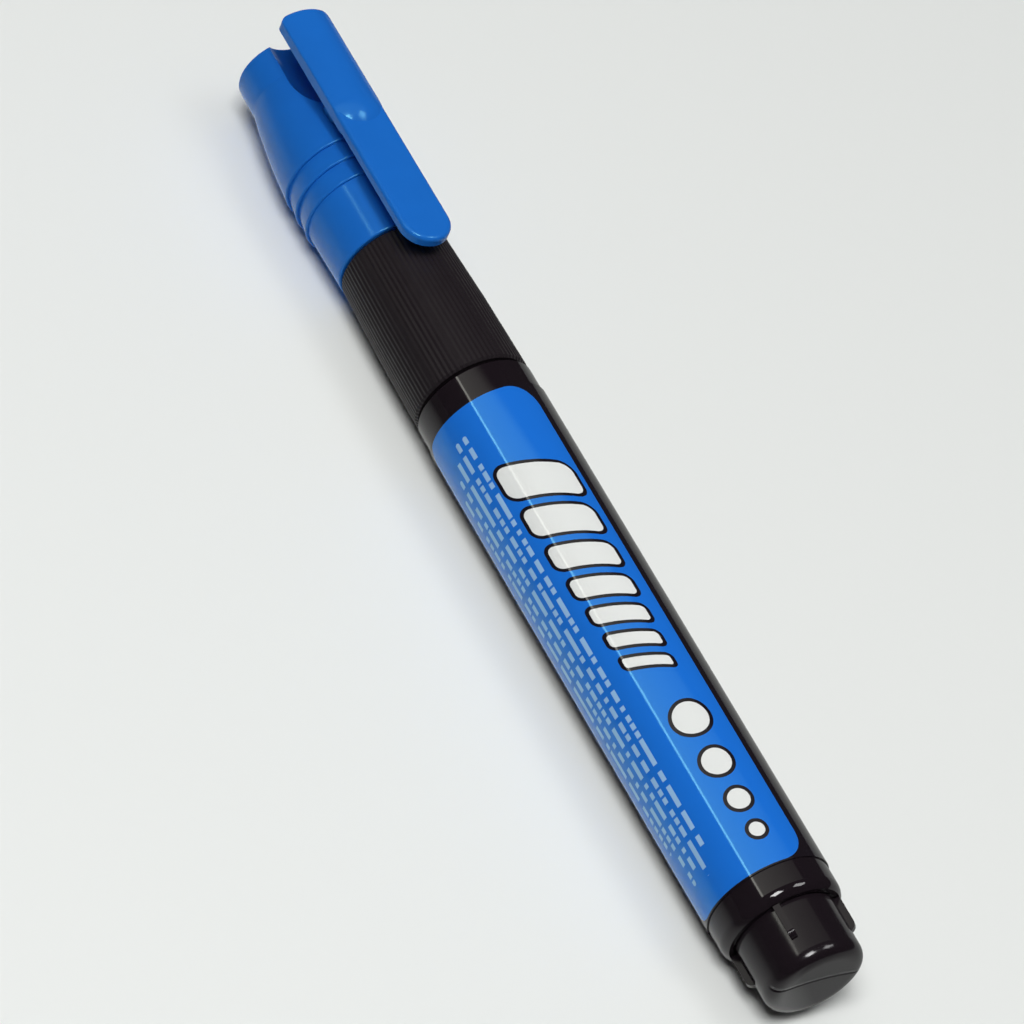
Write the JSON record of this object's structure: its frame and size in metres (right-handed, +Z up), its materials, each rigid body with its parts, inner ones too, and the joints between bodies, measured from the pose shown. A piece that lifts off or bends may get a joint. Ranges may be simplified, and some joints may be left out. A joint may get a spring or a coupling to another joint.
{
  "type": "paint marker",
  "caption": "Capped valve-action paint marker with ribbed grip, film-labelled barrel, stepped cap with rocking pocket clip and ribbed tail plug.",
  "frame": {"origin": "on the surface that the marker lies on, under the middle of its length", "axes": "+X along the marker towards the cap, +Z up through the pocket clip"},
  "size_m": [0.1374, 0.015, 0.0184],
  "materials": {
    "barrel_black": "glossy black polypropylene",
    "label_film": "glossy printed film, blue panel on black",
    "plug_black": "satin black",
    "grip_black": "matt black, finely ribbed",
    "cap_blue": "glossy blue polypropylene",
    "clip_blue": "glossy blue",
    "liner_white": "soft translucent white",
    "nose_black": "satin black",
    "nib_fibre": "pressed fibre, stained with blue paint",
    "valve_white": "natural white",
    "seal_rubber": "soft black",
    "spring_steel": "drawn stainless wire",
    "ball_steel": "polished"
  },
  "bodies": {
    "pen": {"barrel": "barrel_black", "label": "label_film", "tail_plug": "plug_black", "grip_section": "grip_black", "nose_cone": "nose_black", "valve_case": "valve_white", "case_gasket": "seal_rubber", "valve_seat": "seal_rubber", "spring_retainer": "valve_white", "valve_spring": "spring_steel"},
    "cap": {"cap_shell": "cap_blue", "cap_liner": "liner_white"},
    "clip": {"pocket_clip": "clip_blue"},
    "nib_and_rod": {"nib": "nib_fibre", "valve_rod": "valve_white"},
    "ball": {"mixing_ball": "ball_steel"}
  },
  "joints": [
    {"name": "cap_pull", "type": "slide", "parent": "pen", "child": "cap", "axis": [1, 0, 0], "range_m": [0, 0.045]},
    {"name": "clip_rock", "type": "hinge", "parent": "cap", "child": "clip", "pos_m": [0.0551, 0, 0.01407], "axis": [0, 1, 0], "range_deg": [0, 6], "stiffness_Nm_per_rad": 0.5},
    {"name": "nib_press", "type": "slide", "parent": "pen", "child": "nib_and_rod", "axis": [-1, 0, 0], "range_m": [0, 0.002], "stiffness_N_per_m": 800, "springref_m": -0.001, "deforming": ["valve_spring"]},
    {"name": "ball_run", "type": "slide", "parent": "pen", "child": "ball", "axis": [1, 0, 0], "range_m": [-0.026, 0.028]}
  ]
}
